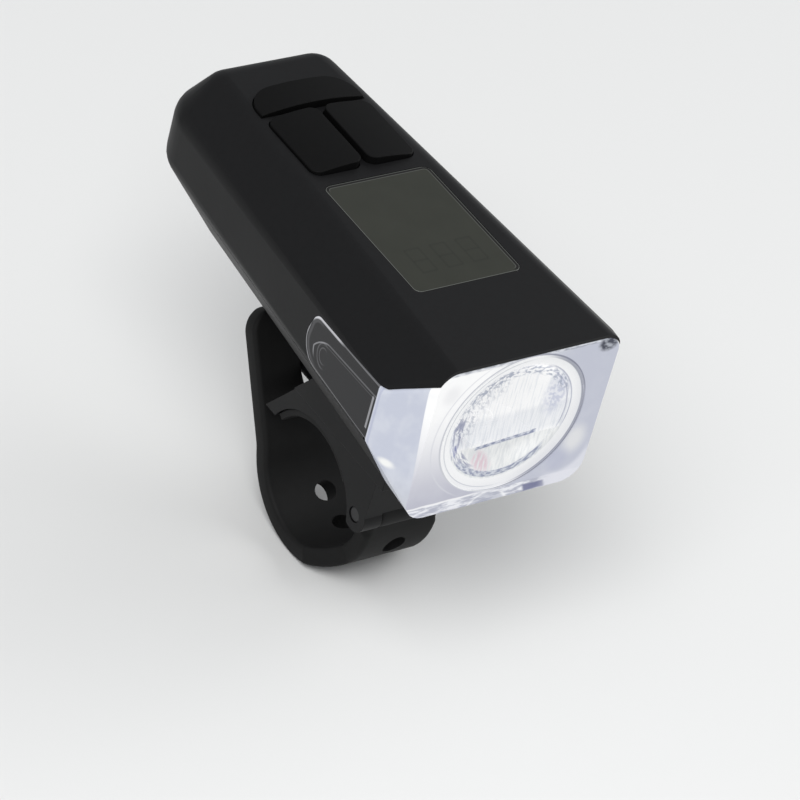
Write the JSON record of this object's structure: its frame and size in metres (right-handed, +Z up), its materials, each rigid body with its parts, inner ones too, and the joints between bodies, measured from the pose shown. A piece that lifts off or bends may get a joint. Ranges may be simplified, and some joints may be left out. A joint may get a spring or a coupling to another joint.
{
  "type": "bicycle headlight",
  "caption": "Bicycle headlight with a clear wrap-round lens, a display and buttons on top, and a strap bracket for the handlebar.",
  "frame": {"origin": "centre of the handlebar clamp, on its axis", "axes": "+X along the handlebar to the rider's left hand seen from the front, -Y the way the beam points, +Z up"},
  "size_m": [0.0514, 0.0964, 0.0756],
  "materials": {
    "housing_black": "fine matte moulded plastic",
    "seal_rubber": "soft matte rubber",
    "steel": "plain steel",
    "black_steel": "blackened steel",
    "clear_lens": "clear moulded polycarbonate",
    "white_plastic": "white moulded plastic",
    "mirror_finish": "bright metallised plastic",
    "emitter_yellow": "phosphor under a clear dome",
    "aluminium": "plain extruded aluminium",
    "display_glass": "smoked clear window",
    "display_green": "grey-green liquid crystal panel",
    "board_green": "coated circuit board",
    "inner_black": "matte moulded plastic",
    "button_rubber": "soft matte silicone rubber",
    "cell_blue": "shrink sleeve",
    "strap_rubber": "smooth black rubber"
  },
  "bodies": {
    "bracket": {"bracket_saddle": "housing_black", "saddle_pad": "seal_rubber", "strap_pin": "black_steel", "strap_band": "strap_rubber", "swivel_screw": "steel", "swivel_washer": "steel", "swivel_nut": "steel"},
    "shoe": {"swivel_shoe": "housing_black"},
    "tongue": {"release_tongue": "housing_black"},
    "lamp": {"upper_shell": "housing_black", "lower_shell": "housing_black", "shell_seal": "seal_rubber", "shell_screws": "steel", "front_lens": "clear_lens", "lens_seal": "seal_rubber", "lens_bezel": "white_plastic", "light_ring": "white_plastic", "reflector": "mirror_finish", "led_board": "white_plastic", "led_emitter": "emitter_yellow", "heat_sink": "aluminium", "display_window": "display_glass", "display_panel": "display_green", "display_frame": "white_plastic", "main_board": "board_green", "key_switches": "inner_black", "battery_cell": "cell_blue", "cell_cradle": "inner_black", "cell_contacts": "steel", "charge_port": "steel", "port_board": "board_green"},
    "mode_key": {"mode_button": "button_rubber"},
    "left_key": {"left_button": "button_rubber"},
    "right_key": {"right_button": "button_rubber"},
    "cover": {"port_cover": "button_rubber"},
    "tab": {"strap_tab": "strap_rubber"}
  },
  "joints": [
    {"name": "lamp_swivel", "type": "hinge", "parent": "bracket", "child": "shoe", "pos_m": [0, -0.012, 0.0158], "axis": [0, 0, 1], "range_deg": [-15, 15]},
    {"name": "lamp_slide", "type": "slide", "parent": "shoe", "child": "lamp", "axis": [0, -1, 0], "range_m": [0, 0.024], "deforming": ["release_tongue"]},
    {"name": "tongue_press", "type": "hinge", "parent": "shoe", "child": "tongue", "pos_m": [0, -0.0166, 0.01805], "axis": [1, 0, 0], "range_deg": [0, 9], "stiffness_Nm_per_rad": 0.1},
    {"name": "mode_press", "type": "slide", "parent": "lamp", "child": "mode_key", "axis": [0, 0, -1], "range_m": [0, 0.0008], "stiffness_N_per_m": 1000},
    {"name": "left_press", "type": "slide", "parent": "lamp", "child": "left_key", "axis": [0, 0, -1], "range_m": [0, 0.0008], "stiffness_N_per_m": 1000},
    {"name": "right_press", "type": "slide", "parent": "lamp", "child": "right_key", "axis": [0, 0, -1], "range_m": [0, 0.0008], "stiffness_N_per_m": 1000},
    {"name": "cover_swing", "type": "hinge", "parent": "lamp", "child": "cover", "pos_m": [0, 0.0587, 0.0399], "axis": [-1, 0, 0], "range_deg": [0, 90]},
    {"name": "tab_swing", "type": "hinge", "parent": "bracket", "child": "tab", "pos_m": [0, 0.01428, -0.00304], "axis": [-1, 0, 0], "range_deg": [0, 60]}
  ]
}
